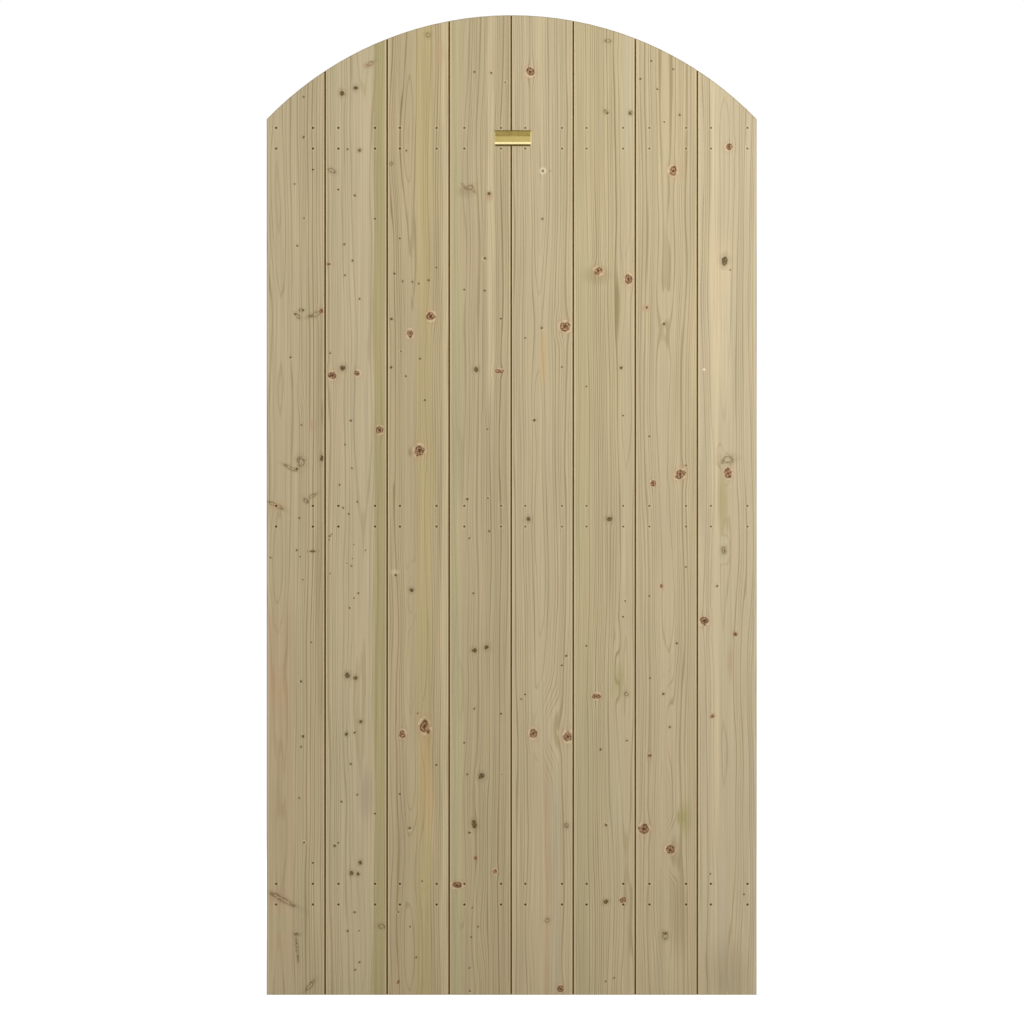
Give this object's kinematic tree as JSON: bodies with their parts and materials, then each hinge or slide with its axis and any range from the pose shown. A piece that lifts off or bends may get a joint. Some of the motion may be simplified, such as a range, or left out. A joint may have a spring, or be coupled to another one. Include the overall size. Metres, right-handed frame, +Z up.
{
  "type": "arched tongue and groove gate",
  "caption": "Arched garden gate leaf of upright tongue and groove boards nailed to level ledges and sloping braces, with a small bare brass plate.",
  "frame": {"origin": "on the level of the boards' bottom ends, in the middle of the gate's width and of its whole depth from the badge to the back of the ledges", "axes": "+Z up along the boards, +Y from the boarded face to the ledges, +X to the right when the boarded face is looked at"},
  "size_m": [0.9, 0.053, 1.8],
  "materials": {
    "board_wood": "planed pressure-treated softwood, pale greenish straw with small knots",
    "batten_wood": "planed pressure-treated softwood, sawn ends",
    "nail_steel": "dull darkened steel",
    "badge_brass": "satin brass, bare"
  },
  "bodies": {
    "root": {"board_1": "board_wood", "board_2": "board_wood", "board_3": "board_wood", "board_4": "board_wood", "board_5": "board_wood", "board_6": "board_wood", "board_7": "board_wood", "board_8": "board_wood", "top_ledge": "batten_wood", "middle_ledge": "batten_wood", "bottom_ledge": "batten_wood", "upper_brace": "batten_wood", "lower_brace": "batten_wood", "top_ledge_nails": "nail_steel", "middle_ledge_nails": "nail_steel", "bottom_ledge_nails": "nail_steel", "upper_brace_nails": "nail_steel", "lower_brace_nails": "nail_steel", "badge": "badge_brass"}
  },
  "joints": []
}
